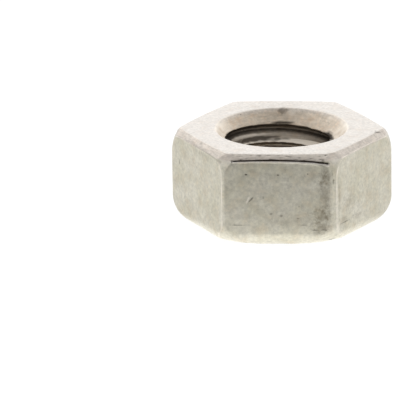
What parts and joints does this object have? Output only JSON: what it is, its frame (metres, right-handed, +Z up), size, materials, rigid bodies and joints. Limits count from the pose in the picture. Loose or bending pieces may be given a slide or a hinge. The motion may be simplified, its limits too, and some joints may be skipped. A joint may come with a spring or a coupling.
{
  "type": "hex nut",
  "caption": "Plain hexagon nut with a through thread, countersunk mouths, beveled upper edges and rounded lower edges, for clamping or locking on a bolt or stud.",
  "frame": {"origin": "centre of the lower bearing face, on the thread's axis", "axes": "+Z up the thread's axis, two flats facing -Y and +Y, two corners on -X and +X"},
  "size_m": [0.0148, 0.013, 0.0064],
  "materials": {
    "stainless_steel": "cold formed and tumbled stainless steel, satin, slightly mottled"
  },
  "bodies": {
    "root": {"hex_nut": "stainless_steel"}
  },
  "joints": []
}
